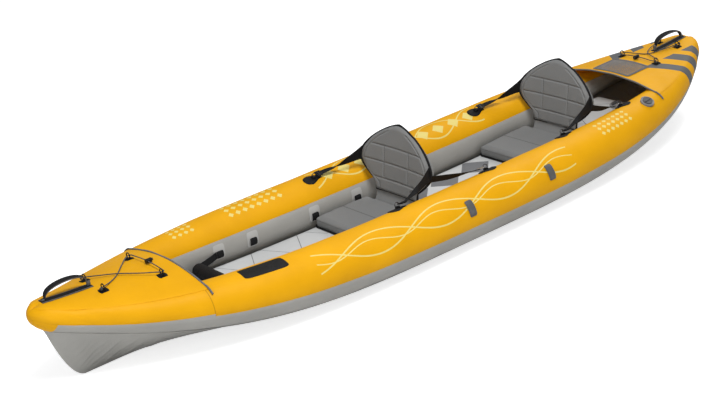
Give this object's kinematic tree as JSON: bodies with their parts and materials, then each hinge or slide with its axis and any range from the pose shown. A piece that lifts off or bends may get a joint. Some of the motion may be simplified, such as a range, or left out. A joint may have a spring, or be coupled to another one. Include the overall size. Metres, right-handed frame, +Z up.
{
  "type": "tandem kayak",
  "caption": "Inflatable tandem kayak with twin air tubes in fabric covers, inflated floor, short decks with bungee cords, folding seats, valves and carrying handles.",
  "frame": {"origin": "on the ground under the middle of the hull", "axes": "+X towards the bow, +Y to port, +Z up"},
  "size_m": [4, 0.9616, 0.5265],
  "materials": {
    "yellow_cover": "coated fabric, satin",
    "grey_cover": "coated fabric, satin",
    "floor_vinyl": "matte",
    "bladder": "matte",
    "stiff_plate": "matte",
    "grey_piping": "woven",
    "grey_patch": "matte",
    "black_webbing": "woven webbing",
    "black_binding": "woven tape",
    "bungee": "braided sheath",
    "black_plastic": "moulded",
    "lock_button": "moulded",
    "valve_plastic": "moulded",
    "valve_cap": "moulded",
    "plunger": "moulded",
    "seat_fabric": "woven polyester",
    "foot_foam": "fabric sleeve over foam",
    "steel": "stamped steel"
  },
  "bodies": {
    "hull": {"port_air_tube": "bladder", "starboard_air_tube": "bladder", "port_upper_cover": "yellow_cover", "port_lower_cover": "grey_cover", "starboard_upper_cover": "yellow_cover", "starboard_lower_cover": "grey_cover", "floor_panel": "floor_vinyl", "bottom_skin": "grey_cover", "bow_form": "stiff_plate", "stern_form": "stiff_plate", "bow_deck": "yellow_cover", "stern_deck": "yellow_cover", "bow_deck_trim": "grey_piping", "stern_deck_trim": "grey_piping", "mesh_pocket": "grey_piping", "bow_deck_rings": "black_plastic", "stern_deck_rings": "black_plastic", "bow_bungee": "bungee", "stern_bungee": "bungee", "bow_cord_lock": "black_plastic", "stern_cord_lock": "black_plastic", "bow_handle_base": "black_webbing", "stern_handle_base": "black_webbing", "port_valve_body": "valve_plastic", "starboard_valve_body": "valve_plastic", "floor_valve_body": "valve_plastic", "side_tabs": "grey_patch", "bare_patch": "black_webbing", "wall_patches": "grey_patch", "wall_tabs": "black_webbing", "foot_straps": "black_webbing", "front_seat_base": "seat_fabric", "rear_seat_base": "seat_fabric", "strap_pads": "black_webbing", "strap_rings": "steel", "strap_buckles": "black_plastic", "front_seat_straps": "black_webbing", "rear_seat_straps": "black_webbing", "snap_hooks": "steel"},
    "front_back": {"front_backrest": "seat_fabric", "front_backrest_binding": "black_binding"},
    "rear_back": {"rear_backrest": "seat_fabric", "rear_backrest_binding": "black_binding"},
    "bow_grip": {"bow_handle": "black_webbing"},
    "stern_grip": {"stern_handle": "black_webbing"},
    "port_cap": {"port_valve_cap": "valve_cap"},
    "starboard_cap": {"starboard_valve_cap": "valve_cap"},
    "floor_cap": {"floor_valve_cap": "valve_cap"},
    "port_plunger": {"port_valve_plunger": "plunger"},
    "starboard_plunger": {"starboard_valve_plunger": "plunger"},
    "floor_plunger": {"floor_valve_plunger": "plunger"},
    "bow_button": {"bow_lock_button": "lock_button"},
    "stern_button": {"stern_lock_button": "lock_button"},
    "foot_brace": {"foot_bar": "foot_foam"},
    "gate_front_port": {"front_port_gate": "steel"},
    "gate_front_starboard": {"front_starboard_gate": "steel"},
    "gate_rear_port": {"rear_port_gate": "steel"},
    "gate_rear_starboard": {"rear_starboard_gate": "steel"}
  },
  "joints": [
    {"name": "front_backrest_fold", "type": "hinge", "parent": "hull", "child": "front_back", "pos_m": [0.095, 0, 0.16358], "axis": [0, 1, 0], "range_deg": [-15, 50], "deforming": ["front_seat_straps"]},
    {"name": "rear_backrest_fold", "type": "hinge", "parent": "hull", "child": "rear_back", "pos_m": [-0.95, 0, 0.17407], "axis": [0, 1, 0], "range_deg": [-15, 50], "deforming": ["rear_seat_straps"]},
    {"name": "bow_handle_swing", "type": "hinge", "parent": "hull", "child": "bow_grip", "pos_m": [1.8175, 0, 0.38389], "axis": [1, 0, 0], "range_deg": [-45, 45], "stiffness_Nm_per_rad": 0.3},
    {"name": "stern_handle_swing", "type": "hinge", "parent": "hull", "child": "stern_grip", "pos_m": [-1.8175, 0, 0.38389], "axis": [1, 0, 0], "range_deg": [-45, 45], "stiffness_Nm_per_rad": 0.3},
    {"name": "port_cap_turn", "type": "hinge", "parent": "hull", "child": "port_cap", "pos_m": [-1.24165, 0.35676, 0.29364], "axis": [0.0312, 0.4317, 0.9015], "range_deg": [0, 90]},
    {"name": "port_plunger_press", "type": "slide", "parent": "hull", "child": "port_plunger", "axis": [-0.0312, -0.4317, -0.9015], "range_m": [0, 0.003], "stiffness_N_per_m": 500},
    {"name": "starboard_cap_turn", "type": "hinge", "parent": "hull", "child": "starboard_cap", "pos_m": [-1.24165, -0.35676, 0.29364], "axis": [0.0312, -0.4317, 0.9015], "range_deg": [0, 90]},
    {"name": "starboard_plunger_press", "type": "slide", "parent": "hull", "child": "starboard_plunger", "axis": [-0.0312, 0.4317, -0.9015], "range_m": [0, 0.003], "stiffness_N_per_m": 500},
    {"name": "floor_cap_turn", "type": "hinge", "parent": "hull", "child": "floor_cap", "pos_m": [-1.4, 0, 0.15565], "axis": [0.1298, 0, 0.9915], "range_deg": [0, 90]},
    {"name": "floor_plunger_press", "type": "slide", "parent": "hull", "child": "floor_plunger", "axis": [-0.1298, 0, -0.9915], "range_m": [0, 0.003], "stiffness_N_per_m": 500},
    {"name": "bow_lock_press", "type": "slide", "parent": "hull", "child": "bow_button", "axis": [1, 0, 0], "range_m": [0, 0.004], "stiffness_N_per_m": 500},
    {"name": "stern_lock_press", "type": "slide", "parent": "hull", "child": "stern_button", "axis": [-1, 0, 0], "range_m": [0, 0.004], "stiffness_N_per_m": 500},
    {"name": "front_port_gate_open", "type": "hinge", "parent": "hull", "child": "gate_front_port", "pos_m": [-0.18368, 0.30901, 0.29896], "axis": [0.0027, -0.3256, 0.9455], "range_deg": [0, 25], "stiffness_Nm_per_rad": 0.005},
    {"name": "front_starboard_gate_open", "type": "hinge", "parent": "hull", "child": "gate_front_starboard", "pos_m": [-0.18368, -0.30901, 0.29896], "axis": [-0.0027, -0.3256, -0.9455], "range_deg": [0, 25], "stiffness_Nm_per_rad": 0.005},
    {"name": "rear_port_gate_open", "type": "hinge", "parent": "hull", "child": "gate_rear_port", "pos_m": [-1.1045, 0.29182, 0.31326], "axis": [0.1157, -0.3151, 0.942], "range_deg": [0, 25], "stiffness_Nm_per_rad": 0.005},
    {"name": "rear_starboard_gate_open", "type": "hinge", "parent": "hull", "child": "gate_rear_starboard", "pos_m": [-1.1045, -0.29182, 0.31326], "axis": [-0.1157, -0.3151, -0.942], "range_deg": [0, 25], "stiffness_Nm_per_rad": 0.005},
    {"name": "foot_bar_slide", "type": "slide", "parent": "hull", "child": "foot_brace", "axis": [0.9965, 0, 0.0834], "range_m": [-0.12, 0.08], "deforming": ["foot_straps"]}
  ]
}
